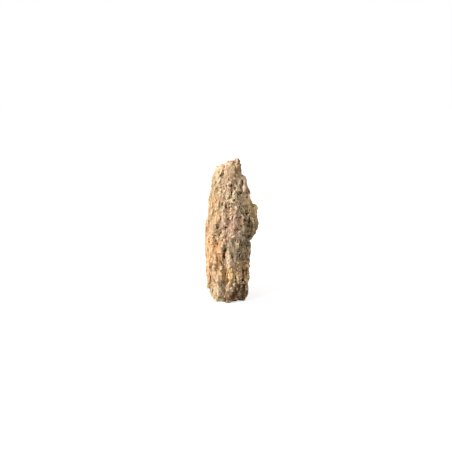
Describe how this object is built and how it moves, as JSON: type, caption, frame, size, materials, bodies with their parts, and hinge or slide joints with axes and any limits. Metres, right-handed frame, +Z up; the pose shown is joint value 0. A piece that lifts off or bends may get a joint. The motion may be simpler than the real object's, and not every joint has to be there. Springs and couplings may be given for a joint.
{
  "type": "bamboo rock",
  "caption": "Tall upright piece of weathered clay stone with splintered plates, ledges and pits, standing on a flat foot.",
  "frame": {"origin": "centre of the bounding box at the foot, on the surface that the stone stands on", "axes": "+Z up along the stone's grain, its broad face looks along -Y, +X to the right when that face is seen from the front"},
  "size_m": [0.1354, 0.1158, 0.3619],
  "materials": {
    "clay_stone": "rough, dry, weathered"
  },
  "bodies": {
    "root": {"rock": "clay_stone"}
  },
  "joints": []
}
